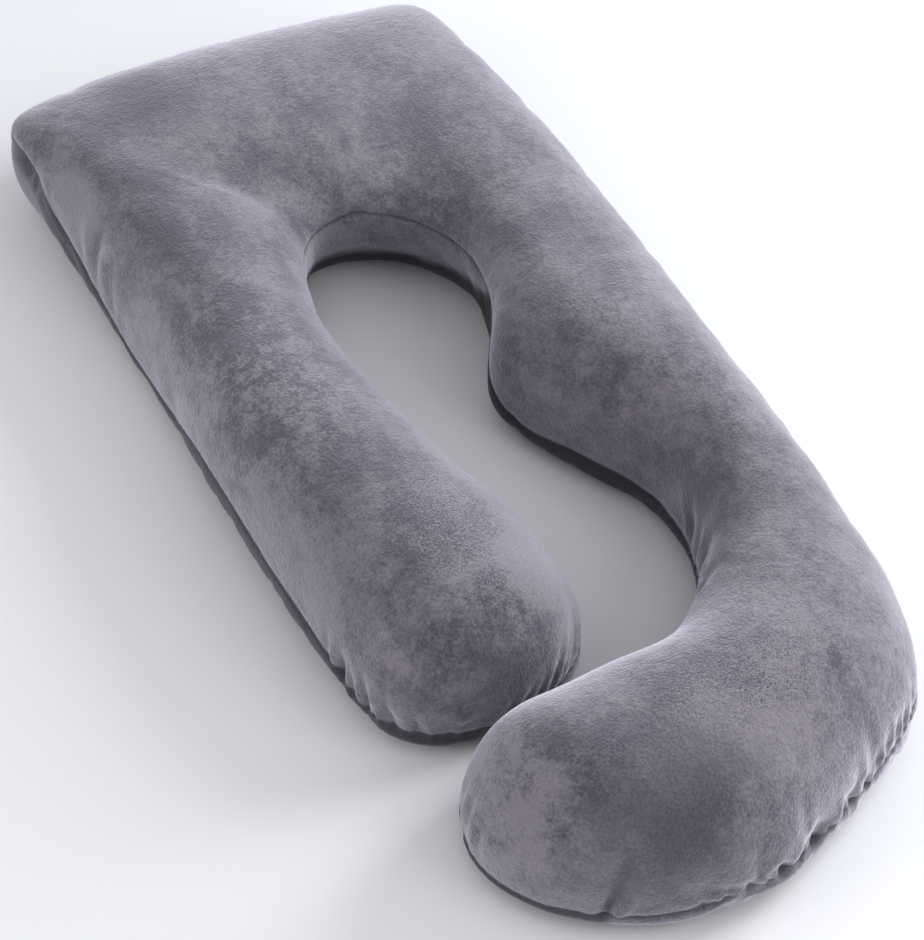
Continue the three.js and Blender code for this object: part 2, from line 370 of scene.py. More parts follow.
# %% Where the seam is gathered
GATHERED = {
    "left edge": (90, 840, 0.25),
    "head edge": (1130, 1420, 0.2),
    "back edge": (1650, 2680, 0.25),
    "hook back": (2840, 3190, 1.0),
    "hook tip": (3425, 3520, 0.6),
    "inner bay": (3870, 4010, 0.6),
    "arm end, inner": (5440, 5600, 0.7),
    "arm end, outer": (5627, 5782, 1.0),
}
LEAST_GATHERING = 0.15
GATHER_BLUR = 25


def gathering(along):
    """How strongly the seam is gathered at each place along it, from 0 to 1."""
    strength = np.full(len(along), LEAST_GATHERING)
    for start, end, amount in GATHERED.values():
        inside = eased(start - GATHER_BLUR, start + GATHER_BLUR, along)
        inside *= 1 - eased(end - GATHER_BLUR, end + GATHER_BLUR, along)
        strength = np.maximum(strength, amount * inside)
    return strength


# %% The simulation on a coarse copy
FRAMES = 20
COARSE_ROUNDS = 20
LEAST_WEIGHT = 0.001
PINNED_UNDER = 0.5
LOOSE_OVER = 6
GATHERS_REACH = 30
EVEN_PART_ROUNDS = 16
LEAST_MOVEMENT = 0.01
MOST_MOVEMENT = 9


def weight_group(target, name, weights):
    """A vertex group with these weights, and its name."""
    group = target.vertex_groups.new(name=name)
    for number in np.flatnonzero(weights > LEAST_WEIGHT).tolist():
        group.add([number], float(weights[number]), "REPLACE")
    return group.name


def stuffed(vertices, faces, pinned, gathers):
    """Where the vertices, in millimetres, go when the filling pushes the cloth out."""
    trial = mesh_object("stuffing_trial", vertices * MM, faces)
    cloth = trial.modifiers.new("cloth", "CLOTH")
    settings = cloth.settings
    settings.quality = 5
    settings.mass = 0.3
    settings.tension_stiffness = 15
    settings.compression_stiffness = 15
    settings.shear_stiffness = 5
    settings.bending_stiffness = 0.5
    settings.use_pressure = True
    settings.uniform_pressure_force = 4
    settings.effector_weights.gravity = 0
    settings.vertex_group_mass = weight_group(trial, "on_the_floor", pinned)
    settings.vertex_group_shrink = weight_group(trial, "gathered", gathers)
    settings.shrink_min = -0.06
    settings.shrink_max = 0.12
    cloth.point_cache.frame_start = 1
    cloth.point_cache.frame_end = FRAMES
    for number in range(1, FRAMES + 1):
        bpy.context.scene.frame_set(number)
    settled = trial.evaluated_get(bpy.context.evaluated_depsgraph_get()).to_mesh()
    moved = np.empty(len(vertices) * 3)
    settled.vertices.foreach_get("co", moved)
    bpy.context.scene.frame_set(1)
    bpy.data.objects.remove(trial)
    return moved.reshape(-1, 3) / MM


def stuffing_movement():
    """The capped movement of the coarse cover, as a grid by half-rib and row."""
    ring, along, around = ring_of_ribs(2)
    coarse_rows = {name: count // 2 for name, count in FINE_ROWS.items()}
    points, away = grid_of_points(ring, **coarse_rows)
    numbers, first = shared_numbers(ring, points.shape[1])
    faces = faces_of(numbers)
    far = away.reshape(-1)[first]
    start = points.reshape(-1, 3)[first]
    edges = neighbours(faces)
    start = evened(start, edges, far, COARSE_ROUNDS)
    column = first // points.shape[1]
    gathers = gathering(along)[column] * (1 - eased(0, GATHERS_REACH, np.abs(far)))
    pinned = 1 - eased(PINNED_UNDER, LOOSE_OVER, start[:, 2])
    movement = stuffed(start, faces, pinned, gathers) - start
    movement -= spread(movement, edges, EVEN_PART_ROUNDS)
    size = np.linalg.norm(movement, axis=1, keepdims=True)
    print("movement in mm, mean and most:", round(size.mean(), 1), round(size.max(), 1))
    movement *= np.minimum(1, MOST_MOVEMENT / np.maximum(size, LEAST_MOVEMENT))
    return movement[numbers], along / around


# %% The movement on the fine cover
TIGHT_GIVE = 0.2
SLACK_GIVE = 0.65
CARRIED_ROUNDS = 14
AS_CARRIED_WITHIN = 15
SMOOTH_BEYOND = 60


def carried_over(grid, shares, along_share, rows):
    """A grid of movements at the fine cover's columns and rows."""
    def by_share(one):
        return np.interp(along_share, shares, one, period=1)

    by_column = np.apply_along_axis(by_share, 0, grid)
    at = np.linspace(0, grid.shape[1] - 1, rows)
    low = np.minimum(at.astype(int), grid.shape[1] - 2)
    part = (at - low)[None, :, None]
    return by_column[:, low] * (1 - part) + by_column[:, low + 1] * part


movement, shares = stuffing_movement()
slack = TIGHT_GIVE + (SLACK_GIVE - TIGHT_GIVE) * gathering(along)
fine = carried_over(movement, shares, along / SEAM_LENGTH, points.shape[1])
fine = fine * slack[:, None, None]
freedom = eased(AS_CARRIED_WITHIN, SMOOTH_BEYOND, far)[:, None]
cover = cover + spread(fine.reshape(-1, 3)[first], edges, CARRIED_ROUNDS, freedom)
cover[:, 2] = np.maximum(cover[:, 2], 0)
cover = spread(cover, edges, 1)

# %% [markdown]
# ## The seam and its puckers
# The thread pulls both panels into a narrow groove, and where more cloth was fed in than the
# thread's length takes up, the cloth stands in puckers: rounded lips with a sharp fold between
# them. A brush could carve them, but a table of the folds, by their place along the seam, keeps
# them where the real ones are and leaves each one easy to change. Every fold is deepest at its
# heart, most often a little way above the seam, and runs out upwards and downwards, some at a
# slant. A fold widens as it runs out, and the cloth that it takes in stands as a low rim on both
# sides of it. Rounded floor, walls and rims are the same for all folds, as shares of their width
# and depth. A row with a depth under 0 is a ridge.

# %% The folds along the seam
FOLD_COLUMNS = ("at", "wide", "depth", "heart", "up", "down", "slant")
FOLDS = {
    "notch at the arm end": (26, 6, 10, 5, 46, 26, 0.1),
    "beside the notch": (52, 5, 2.5, 16, 50, 10, 0.1),
    "crease of the left edge": (707, 7, 6, 45, 110, 6, 0.45),
    "soft crease of the left edge": (657, 6, 3, 30, 80, 6, 0.4),
    "ridge under the corner": (868, 5, -2.5, -14, 3, 60, 0),
    "upper ridge under the corner": (888, 4, -3, -12, 3, 50, 0),
    "tuck at the corner": (905, 30, 9, -3, 14, 28, 0),
    "edge crease 1": (2848, 5, 3, 24, 70, 6, -0.2),
    "edge crease 2": (2874, 4, 3, 22, 55, 6, -0.3),
    "edge crease 3": (2892, 5, 3.2, 22, 56, 8, -0.3),
    "edge crease 4": (2911, 4, 3, 20, 46, 8, -0.2),
    "edge crease 5": (2930, 5, 3.2, 18, 48, 10, -0.2),
    "hook pit 1": (2951, 6, 5, 6, 28, 14, 0),
    "hook pit 2": (2974, 7, 8, 5, 34, 16, 0.2),
    "hook pit 3": (2993, 6, 8, 4, 26, 14, -0.1),
    "hook pit 4": (3015, 6, 6, 6, 30, 14, 0.2),
    "deep pit of the hook": (3040, 10, 13, 6, 40, 20, 0),
    "hook pit 6": (3066, 7, 9, 5, 30, 16, -0.2),
    "hook pit 7": (3090, 8, 9, 4, 28, 16, 0.1),
    "hook pit 8": (3112, 5, 5, 5, 22, 12, -0.1),
    "hook pit 9": (3132, 8, 7, 4, 30, 14, 0.2),
    "hook pit 10": (3160, 6, 3.5, 6, 30, 10, 0),
    "hook pit 11": (3186, 7, 2.5, 14, 50, 10, 0.3),
    "fold under the hook": (3292, 6, 8, 20, 120, 24, -0.3),
    "beside the fold": (3276, 5, -3, 14, 44, 16, -0.3),
    "tip fold 1": (3442, 5, 3, 34, 80, 6, 0.2),
    "tip fold 2": (3475, 5, 3.5, 40, 90, 6, 0.1),
    "tip fold 3": (3506, 5, 3, 34, 70, 6, 0),
    "bay fold 1": (3880, 5, 4, 30, 70, 6, 0.3),
    "bay fold 2": (3918, 4, 3, 26, 55, 6, 0.2),
    "bay fold 3": (3939, 6, 5, 34, 85, 6, 0.3),
    "bay fold 4": (3972, 4, 3, 26, 60, 6, 0.3),
    "bay fold 5": (4001, 5, 4, 30, 70, 6, 0.4),
    "inner end fold 1": (5462, 4, 2.5, 22, 60, 6, -0.7),
    "inner end fold 2": (5480, 4, 4, 24, 70, 6, -0.7),
    "inner end fold 3": (5497, 4, 3, 26, 75, 6, -0.8),
    "inner end fold 4": (5508, 5, 5.5, 24, 80, 8, -0.8),
    "inner end fold 5": (5525, 5, 5.5, 24, 75, 8, -0.8),
    "inner end fold 6": (5544, 5, 6, 22, 70, 8, -0.7),
    "inner end fold 7": (5563, 5, 5.5, 20, 60, 8, -0.6),
    "inner end fold 8": (5582, 5, 5.5, 18, 56, 8, -0.6),
    "inner end fold 9": (5600, 4, 4, 18, 48, 8, -0.5),
    "arm end fold 1": (5627, 6, 3.5, 16, 46, 10, -0.2),
    "arm end fold 2": (5645, 5, 2.5, 12, 30, 8, 0),
    "arm end fold 3": (5664, 6, 4.5, 14, 44, 12, 0.1),
    "arm end fold 4": (5681, 5, 2.5, 12, 28, 8, 0),
    "arm end fold 5": (5697, 6, 5.5, 15, 50, 12, 0.2),
    "arm end fold 6": (5712, 4, 2.5, 12, 30, 8, 0.2),
    "arm end fold 7": (5727, 7, 7, 16, 56, 14, 0.3),
    "arm end fold 8": (5745, 5, 3, 14, 36, 8, 0.1),
    "arm end fold 9": (5763, 7, 7, 16, 60, 14, 0.3),
    "arm end fold 10": (2, 6, 5, 16, 50, 14, 0.3),
}
DOUBLE_WIDTH_AT = 60
TROUGH = {"floor": 0.5, "wall": 0.75, "rim": 0.3, "rim_from_middle": 2.2}


def fold_depth(along, far):
    """How deep the folds of the table draw the cloth in, at places along and off the seam."""
    depth = np.zeros(len(along))
    for row in FOLDS.values():
        fold = dict(zip(FOLD_COLUMNS, row))
        off_heart = far - fold["heart"]
        reach = np.where(off_heart >= 0, fold["up"] - fold["heart"], fold["down"] + fold["heart"])
        fade = eased(0, 1, 1 - np.abs(off_heart) / reach)
        apart = along - fold["at"] - fold["slant"] * np.maximum(far, 0)
        apart = np.abs((apart + SEAM_LENGTH / 2) % SEAM_LENGTH - SEAM_LENGTH / 2)
        wide = fold["wide"] * (1 + np.abs(far) / DOUBLE_WIDTH_AT)
        rounded = np.sqrt(apart**2 + (TROUGH["floor"] * wide) ** 2) - TROUGH["floor"] * wide
        trough = np.exp(-rounded / (TROUGH["wall"] * wide))
        rim = TROUGH["rim"] * np.exp(-((apart - TROUGH["rim_from_middle"] * wide) / wide) ** 2)
        depth += fold["depth"] * fade * (trough - rim)
    return depth


# %% Small gathers between the folds
SMALL_GATHERS = {"height": 1.3, "up": 16, "down": 9}
WAVE_COLUMNS = ("pitch", "start", "share")
GATHER_WAVES = {
    "close waves": (11, 1.3, 1),
    "wide waves": (17.3, 4.1, 0.7),
}
PITCH_DRIFT = {"turns": 0.8, "pitches": 3.7}
SWELL_PITCHES = 5.3


def wandering(along, pitch, start):
    """Uneven waves along the seam with about this pitch, between -1 and 1."""
    drift = PITCH_DRIFT["turns"] * np.sin(along / (pitch * PITCH_DRIFT["pitches"]) + start)
    turns = along / pitch + drift
    swell = 0.5 + 0.5 * np.sin(along / (pitch * SWELL_PITCHES) + 2 * start)
    return np.sin(2 * math.pi * turns) * swell


def small_gathers(along, far):
    """Fine gathers beside the thread, stronger where the seam is gathered."""
    near = np.exp(-np.abs(far) / np.where(far >= 0, SMALL_GATHERS["up"], SMALL_GATHERS["down"]))
    waves = np.zeros(len(along))
    for row in GATHER_WAVES.values():
        wave = dict(zip(WAVE_COLUMNS, row))
        waves += wave["share"] * wandering(along, wave["pitch"], wave["start"])
    return SMALL_GATHERS["height"] * gathering(along) * near * waves


# %% Press the seam and the folds into the cover
SEAM_GROOVE = {"depth": 1.2, "wide": 2.0}
SEAM_LIP = {"height": 0.6, "from_seam": 9, "wide": 8}

place = along[first // points.shape[1]]
groove = SEAM_GROOVE["depth"] * np.exp(-(far / SEAM_GROOVE["wide"]) ** 2)
lip = SEAM_LIP["height"] * np.exp(-((np.abs(far) - SEAM_LIP["from_seam"]) / SEAM_LIP["wide"]) ** 2)
drawn_in = groove - lip + fold_depth(place, far) + small_gathers(place, far)
cover = cover - outward(cover, faces) * drawn_in[:, None]
cover[:, 2] = np.maximum(cover[:, 2], 0)
print("deepest fold, in mm:", round(drawn_in.max(), 1))

# %% The piece itself
pillow_low, pillow_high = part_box("pillow")
centre = np.append((cover.min(0) + cover.max(0))[:2] / 2, 0)
frame_centre = np.array([(pillow_low.x + pillow_high.x) / 2, (pillow_low.y + pillow_high.y) / 2, 0])
cushion = mesh_object("plush_cover", (cover - centre) * MM + frame_centre, faces)
for polygon in cushion.data.polygons:
    polygon.use_smooth = True
print("cover's size, in mm:", [round(v * 1000, 1) for v in cushion.dimensions])

# %% [markdown]
# ## Painted shade along the seam
# Along most of the seam the bottom panel is painted darker and duller, as painted shade, and shows
# as a dark band. Under the hook's right side it is left as light as the top. A few places along the
# seam say how much shade is painted beside the seam and further down, and how far under the seam
# the one gives way to the other, in millimetres. Less than 0 is painted light, and more than 1 is a
# painted shadow, darkest low on the wall of the neck, where it meets the floor. A thin line of
# painted shade also runs along the seam's groove on both panels and dulls the sheen on its lips.

# %% What the material needs to know about the seam
SHADE_COLUMNS = ("along", "beside_seam", "further_down", "changes_at")
BAND_SHADING = {
    "left edge": (0, 0.8, 0.9, 30),
    "under the corner": (840, 0.8, 0.8, 30),
    "at the corner": (905, 0.35, 0.35, 30),
    "corner's end": (960, 0.3, 0.4, 30),
    "head edge": (1200, 0.4, 0.5, 30),
    "back edge": (2700, 0.2, 0.4, 30),
    "hook's back": (2850, 0, 0.2, 30),
    "hook's front": (3281, 0.05, 0.1, 30),
    "left of the fold": (3293, 0.75, 0.85, 30),
    "hook tip": (3600, 0.85, 0.95, 30),
    "bay": (3900, 0.95, 1.4, 30),
    "bump": (4340, 0.95, 1.1, 30),
    "right of the neck": (4450, 0.9, 1.9, 8),
    "neck, right": (4475, 0.3, 1.9, 20),
    "neck": (4500, 0.2, 1.9, 32),
    "middle of the neck": (4590, 0.15, 1.9, 57),
    "left of the neck": (4690, 0.05, 1.9, 68),
    "neck's left end": (4770, -1.0, 1.7, 36),
    "below the neck": (4850, 0, 0.5, 30),
    "inner edge": (5000, 0.6, 0.8, 30),
    "arm end": (5400, 0.8, 0.95, 30),
    "arm end, inner side": (5470, 0.1, 0.5, 30),
    "arm end, hook's side": (5590, 0.15, 0.6, 30),
    "arm end, front": (5640, 0.8, 0.95, 30),
    "end of the seam": (5782, 0.85, 0.95, 30),
}
BAND_STARTS = (-0.5, 1.5)
CHANGE_BLUR = {"share": 0.7, "most": 14}
THREAD_SHADE = {"strength": 0.65, "from_seam": 0.5, "wide": 2.6}


def painted_band_shading(along, far):
    """Painted shade under the seam: 1 is the darker, duller copy of the plush, 0 is none, less than 0
    is painted light, and 2 is the darkest painted shadow."""
    rows = np.array(list(BAND_SHADING.values()), float)
    at = {name: np.interp(along, rows[:, 0], rows[:, k]) for k, name in enumerate(SHADE_COLUMNS)}
    blur = np.minimum(CHANGE_BLUR["share"] * at["changes_at"], CHANGE_BLUR["most"])
    depth = eased(at["changes_at"] - blur, at["changes_at"] + blur, -far)
    flat = at["beside_seam"] + (at["further_down"] - at["beside_seam"]) * depth
    return flat * eased(*BAND_STARTS, -far)


# Painted shade under the seam, and painted light where it is less than 0; then a thin line of painted
# shade along the seam's groove.
band_shading = painted_band_shading(place, far)
off_thread = (far - THREAD_SHADE["from_seam"]) / THREAD_SHADE["wide"]
thread_shade = THREAD_SHADE["strength"] * np.exp(-off_thread ** 2)


def keep_on_mesh(mesh, name, values):
    """An attribute of the mesh, which the material reads by its name."""
    attribute = mesh.attributes.new(name, "FLOAT", "POINT")
    attribute.data.foreach_set("value", values.astype(np.float32))


keep_on_mesh(cushion.data, "drawn_in", np.maximum(drawn_in, 0) * MM)
keep_on_mesh(cushion.data, "underneath", np.clip(band_shading - 1, 0, 1))

# %% [markdown]
# ## Nap, painted sheen and painted shade on the top panel
# Hands leave the pile of the top panel brushed one way here and another way there. Looked at from
# one side, a patch is lighter or darker than the next. Broad patches are kept on the mesh, and the
# same patches also paint sheen lighter on the edges of the limbs and paint shade darker on their
# crowns and on sides that face away from the lamps. A table gives each one's middle on the plan,
# its half length and half width, the turn of its length from the X axis in degrees, and its amount.
# In this table the amount is how much lighter the patch looks, and less than 0 is darker. A slow
# waver keeps the ovals from looking drawn.

# %% Broad patches of nap, painted sheen and painted shade
NAP_COLUMNS = ("x", "y", "long", "wide", "turn", "amount")
NAP_AND_SHADING = {
    "crown of the straight arm, high": (-208, 420, 250, 52, 94, -0.6),
    "crown of the straight arm, middle": (-222, 110, 220, 50, 88, -0.7),
    "crown of the straight arm, low": (-188, -130, 190, 48, 106, -0.6),
    "left edge, high": (-282, 505, 110, 36, 85, 1.9),
    "left edge, middle": (-286, 230, 260, 24, 90, 0.6),
    "left edge, low": (-284, -150, 200, 38, 90, 1.2),
    "inner edge at the neck": (-128, 205, 90, 40, 80, 0.15),
    "inner edge of the arm": (-80, -200, 240, 62, 92, 0.9),
    "inner side of the arm's end": (-70, -320, 110, 60, 100, 1.7),
    "back of the head": (-150, 655, 170, 55, 12, -1.4),
    "head, far left": (-150, 590, 140, 85, 20, -1.4),
    "head, left": (-50, 605, 80, 45, -50, 0.3),
    "head, streak to the neck": (-118, 400, 200, 42, 95, 0.5),
    "head, middle": (20, 478, 70, 45, 20, -0.5),
    "head, light streak": (75, 430, 130, 22, 68, 0.45),
    "head, right": (146, 370, 190, 62, 84, -0.6),
    "head's right edge": (250, 560, 150, 60, 80, 0.35),
    "outer edge, high": (272, 200, 360, 42, 90, 0.5),
    "right arm, high": (220, 60, 130, 45, 92, -0.6),
    "side of the bay": (125, -290, 160, 54, 80, -1.4),
    "outer edge, middle": (262, -220, 150, 48, 92, 0.5),
    "outer edge, low": (228, -500, 190, 60, 78, 0.55),
    "above the hook": (95, -500, 110, 55, -52, 0.5),
    "middle of the hook": (30, -625, 140, 62, -28, 0.85),
    "front of the hook": (-120, -620, 140, 95, 80, -0.5),
    "front of the hook, low": (-70, -680, 140, 60, 12, -0.5),
    "front of the arm's end": (-165, -385, 110, 42, 0, -0.3),
    "tip of the hook": (-240, -560, 105, 62, 95, 1.0),
}
WAVER = {"by": 9, "close": 31, "far": 83, "cross": 27}
PATCHES_START = (-2, 6)


def oval_patches(table, plan, far):
    """The sum of a table's soft oval patches at places on the plan of the top panel."""
    x, y = plan.T
    wavering = WAVER["by"] * np.column_stack([
        np.sin(y / WAVER["close"] + x / WAVER["far"]),
        np.sin(x / WAVER["cross"]),
    ])
    total = np.zeros(len(plan))
    for row in table.values():
        mark = dict(zip(NAP_COLUMNS, row))
        off = plan + wavering - (mark["x"], mark["y"])
        turn = math.radians(mark["turn"])
        lengthways = off @ (math.cos(turn), math.sin(turn)) / mark["long"]
        sideways = off @ (-math.sin(turn), math.cos(turn)) / mark["wide"]
        total += mark["amount"] * eased(0, 1, 1 - np.hypot(lengthways, sideways))
    return total * eased(*PATCHES_START, far)


# %% [markdown]
# ## Ruffled and curled nap
# In some places the pile is ruffled and shows strong smudges, and in others it was smoothed by a
# hand and is nearly even. Where it has been pressed, it stands in fine curls. Two more tables of the
# same soft patches say where. Their amount is how much stronger the smudges or the curls are, and
# less than 0 is smoother. Where the broad patches are darkest, a small share of the darker, duller
# copy of the plush is mixed in as painted shade.

# %% What the material needs to know about the nap
SHADE_WHERE_DARK = {"strength": 0.28, "from": 0.7, "full": 1.9}
BAND_LIGHT_WEIGHT = 2
RUFFLED = {
    "straight arm, middle": (-225, 80, 260, 110, 92, 2.2),
    "tip of the hook": (-235, -560, 120, 90, 95, 1.1),
    "front of the hook": (-90, -640, 160, 105, 20, -1.25),
}
CURLED = {
    "end of the straight arm": (-130, -235, 190, 120, 95, 1.0),
    "middle of the hook": (40, -560, 190, 110, 10, 1.0),
}
# The broad patches are partly nap and partly painted sheen and shade; the painted light under the seam
# is added to them.
brushed = oval_patches(NAP_AND_SHADING, cover[:, :2], far) - BAND_LIGHT_WEIGHT * np.minimum(band_shading, 0)
shade_where_dark = SHADE_WHERE_DARK["strength"] * eased(SHADE_WHERE_DARK["from"], SHADE_WHERE_DARK["full"], -brushed)
lying = np.maximum(np.maximum(band_shading, thread_shade), shade_where_dark)
keep_on_mesh(cushion.data, "lying", np.clip(lying, 0, 1))
keep_on_mesh(cushion.data, "brushed", brushed)
keep_on_mesh(cushion.data, "ruffled", oval_patches(RUFFLED, cover[:, :2], far))
keep_on_mesh(cushion.data, "curled", oval_patches(CURLED, cover[:, :2], far))
print("nap from", round(brushed.min(), 2), "to", round(brushed.max(), 2))

# %% [markdown]
# ## Shader maths as Python sums
# A finish is a sum of many soft patterns. Wired by hand, that is a large web of nodes. A small
# class that wraps a node's output lets Python's own sums and products add the Math nodes.

# %% A socket that can be added and multiplied
class Field:
    """One output of a node. Sums and products of fields add Math nodes to their tree."""

    def __init__(self, socket):
        self.socket = socket

    @staticmethod
    def node(tree, kind, settings=None, sockets=None, output=0):
        """One output of a new node, whose settings come first and then its sockets' values."""
        made = tree.nodes.new(kind)
        for name, value in (settings or {}).items():
            setattr(made, name, value)
        for name, value in (sockets or {}).items():
            if isinstance(value, Field):
                tree.links.new(value.socket, made.inputs[name])
            else:
                made.inputs[name].default_value = value
        return Field(made.outputs[output])

    def math(self, operation, first, second):
        """A Math node on two fields or numbers."""
        tree = self.socket.id_data
        return Field.node(tree, "ShaderNodeMath", {"operation": operation}, {0: first, 1: second})

    def __add__(self, other):
        return self.math("ADD", self, other)

    __radd__ = __add__

    def __sub__(self, other):
        return self.math("SUBTRACT", self, other)

    def __rsub__(self, other):
        return self.math("SUBTRACT", other, self)

    def __mul__(self, other):
        return self.math("MULTIPLY", self, other)

    __rmul__ = __mul__


# %% [markdown]
# ## The plush
# The pile is about a millimetre deep and too short to see hair by hair. Real strands could be grown
# on the mesh, but they would cost millions of hairs and be lost when the part is exported. So the
# pile is a dull surface with a soft sheen at its edges, a fine bump, and a colour that follows the
# nap: broad clouds, smears, crumpled patches, a fine grain and, in places, curls. The tables above
# say where they are lighter, stronger or smoother, and a few narrow marks are drawn as strokes.
# Where shade is painted, a second, darker and duller copy of the plush takes over.

# %% Patterns that the plush is made of
plush = bpy.data.materials.new("plush")
plush.use_nodes = True
tree = plush.node_tree
place_on_pillow = Field.node(tree, "ShaderNodeTexCoord", output="Object")


def cloudy(size, detail, roughness, stretch=(1, 1, 1), turn=0.0):
    """Soft noise whose patches are about this size in metres, stretched along a direction."""
    where = Field.node(tree, "ShaderNodeMapping", {"vector_type": "POINT"},
                       {"Vector": place_on_pillow, "Rotation": (0, 0, turn), "Scale": stretch})
    return Field.node(tree, "ShaderNodeTexNoise", {"noise_dimensions": "3D"},
                      {"Vector": where, "Scale": 1 / size, "Detail": detail,
                       "Roughness": roughness})


def between(value, low, high):
    """0 where value is below low, 1 above high, and a smooth rise between."""
    return Field.node(tree, "ShaderNodeMapRange", {"interpolation_type": "SMOOTHSTEP"},
                      {"Value": value, "From Min": low, "From Max": high})


def mixed(share, first, second):
    """A colour between two colours."""
    return Field.node(tree, "ShaderNodeMix", {"data_type": "RGBA"}, {0: share, 6: first, 7: second}, 2)


def kept(name):
    """An attribute of the mesh."""
    return Field.node(tree, "ShaderNodeAttribute", {"attribute_name": name}, output="Fac")


# %% Narrow marks in the nap, and painted shade of three small creases on the head
NARROW_MARKS = {
    "mark on the arm's end": (-117, -355, 26, 6, 105, -1.0),
    "second mark on the arm's end": (-103, -379, 14, 6, 100, -0.5),
    "crease on the head": (12, 518, 42, 3.5, 62, -1.0),
    "end of that crease": (-22, 492, 26, 3.5, 42, -0.8),
    "short crease on the head": (-44, 620, 24, 3, 46, -1.0),
    "streak by the left corner": (-240, 415, 40, 4, 66, -0.8),
    "light streak by the left crease": (-279, 394, 46, 8, 100, 1.0),
    "smudge on the left arm": (-208, 545, 34, 10, 70, -0.7),
    "second smudge on the left arm": (-243, 395, 26, 8, 75, -0.6),
    "third smudge on the left arm": (-208, 347, 24, 9, 75, -0.6),
    "streak on the right arm": (272, 232, 34, 5, -25, -0.8),
    "second streak on the right arm": (230, 43, 30, 5, -40, -0.8),
    "smudge beside the bump": (137, -108, 26, 12, 40, -0.8),
    "smudge on the hook": (130, -590, 46, 8, 70, -0.8),
    "second smudge on the hook": (20, -577, 30, 8, 150, -0.7),
}
NOISE_MEAN = 0.5
RAGS_PER_METRE = 60
RAGGED_BY = 0.02
STROKE_HEIGHT = 10
ragged = Field.node(tree, "ShaderNodeTexNoise", {"noise_dimensions": "3D"},
                    {"Vector": place_on_pillow, "Scale": RAGS_PER_METRE, "Detail": 1}, "Color")
shaken = Field.node(tree, "ShaderNodeVectorMath", {"operation": "SUBTRACT"},
                    {0: ragged, 1: (NOISE_MEAN,) * 3})
nap_place = Field.node(tree, "ShaderNodeVectorMath", {"operation": "MULTIPLY_ADD"},
                       {0: shaken, 1: (RAGGED_BY,) * 3, 2: place_on_pillow})


def stroke(mark):
    """A soft oval on the plan of the pillow, 1 in its middle and 0 at its rim."""
    x, y = (np.array([mark["x"], mark["y"]]) - centre[:2]) * MM + frame_centre[:2]
    oval = Field.node(tree, "ShaderNodeMapping", {"vector_type": "TEXTURE"}, {
        "Vector": nap_place, "Location": (x, y, 0), "Rotation": (0, 0, math.radians(mark["turn"])),
        "Scale": (mark["long"] * MM, mark["wide"] * MM, STROKE_HEIGHT),
    })
    from_middle = Field.node(tree, "ShaderNodeVectorMath", {"operation": "LENGTH"}, {0: oval}, "Value")
    return between(1 - from_middle, 0, 1)


marks = kept("brushed")
for row in NARROW_MARKS.values():
    mark = dict(zip(NAP_COLUMNS, row))
    marks = marks + stroke(mark) * mark["amount"]
print(len(NAP_AND_SHADING), "broad and", len(NARROW_MARKS), "narrow marks in the nap")

# %% Noises of the plush, from broad to fine
patches = cloudy(size=0.10, detail=2, roughness=0.5)
smears = cloudy(size=0.042, detail=3, roughness=0.6, stretch=(1, 0.5, 1), turn=0.35)
crumple = cloudy(size=0.013, detail=2, roughness=0.6)
grain = cloudy(size=0.0034, detail=1, roughness=0.5)
curls = cloudy(size=0.0018, detail=0, roughness=0.5)

# %% The colour of the plush
WEIGHTS = {"patches": 0.26, "smears": 0.6, "crumple": 0.4, "grain": 0.26, "curls": 0.7, "marks": 0.12}
RUFFLING_MEAN = 0.63
RUFFLING_GAIN = {"everywhere": 0.6, "ruffled": 0.45}
NAP_LEVEL = 0.37
DARK_UNDER = 0.36
LIGHT_OVER = 0.66
SPECKLE = {"dark_under": 0.3, "light_over": 0.7, "share": 0.16}
DARK_PILE = (0.058, 0.0515, 0.0725, 1)
LIGHT_PILE = (0.215, 0.196, 0.222, 1)
# The last two colours are painted shade: in the folds, along the seam and on the bottom panel, and the
# darkest is a painted shadow low on the neck's wall.
PAINTED_SHADE_PILE = (0.036, 0.032, 0.040, 1)
PAINTED_SHADOW_PILE = (0.012, 0.010, 0.012, 1)

rufflings = smears * WEIGHTS["smears"] + crumple * WEIGHTS["crumple"] + grain * WEIGHTS["grain"]
gain = kept("ruffled") * RUFFLING_GAIN["ruffled"] + RUFFLING_GAIN["everywhere"]
rufflings = (rufflings - RUFFLING_MEAN) * gain
curliness = (curls - NOISE_MEAN) * kept("curled") * WEIGHTS["curls"]
nap = patches * WEIGHTS["patches"] + rufflings + curliness + NAP_LEVEL
lightness = between(nap + marks * WEIGHTS["marks"], DARK_UNDER, LIGHT_OVER) * (1 - SPECKLE["share"])
speckle = between(grain, SPECKLE["dark_under"], SPECKLE["light_over"]) * SPECKLE["share"]
pile = mixed(lightness + speckle, DARK_PILE, LIGHT_PILE)

# %% Painted shade in the folds
FOLD_SHADE = {"from": 0.001, "full": 0.006, "strength": 0.6}
fold_shade = between(kept("drawn_in"), FOLD_SHADE["from"], FOLD_SHADE["full"])
pile = mixed(fold_shade * FOLD_SHADE["strength"], pile, PAINTED_SHADE_PILE)

# %% The pile's surface
RELIEF = {"grain": 0.8, "curls": 0.7}
relief = grain * RELIEF["grain"] + crumple + curls * kept("curled") * RELIEF["curls"]
bumped = Field.node(tree, "ShaderNodeBump", {},
                    {"Height": relief, "Strength": 0.5, "Distance": 0.0022})


def pile_shader(colour, sheen, sheen_roughness):
    """Plush seen from a step away: a dull ground with a soft sheen at its edges."""
    return Field.node(tree, "ShaderNodeBsdfPrincipled", {}, {
        "Base Color": colour, "Normal": bumped, "Roughness": 0.85, "Specular IOR Level": 0.2,
        "Sheen Weight": sheen, "Sheen Roughness": sheen_roughness, "Sheen Tint": (0.93, 0.90, 1, 1),
    })


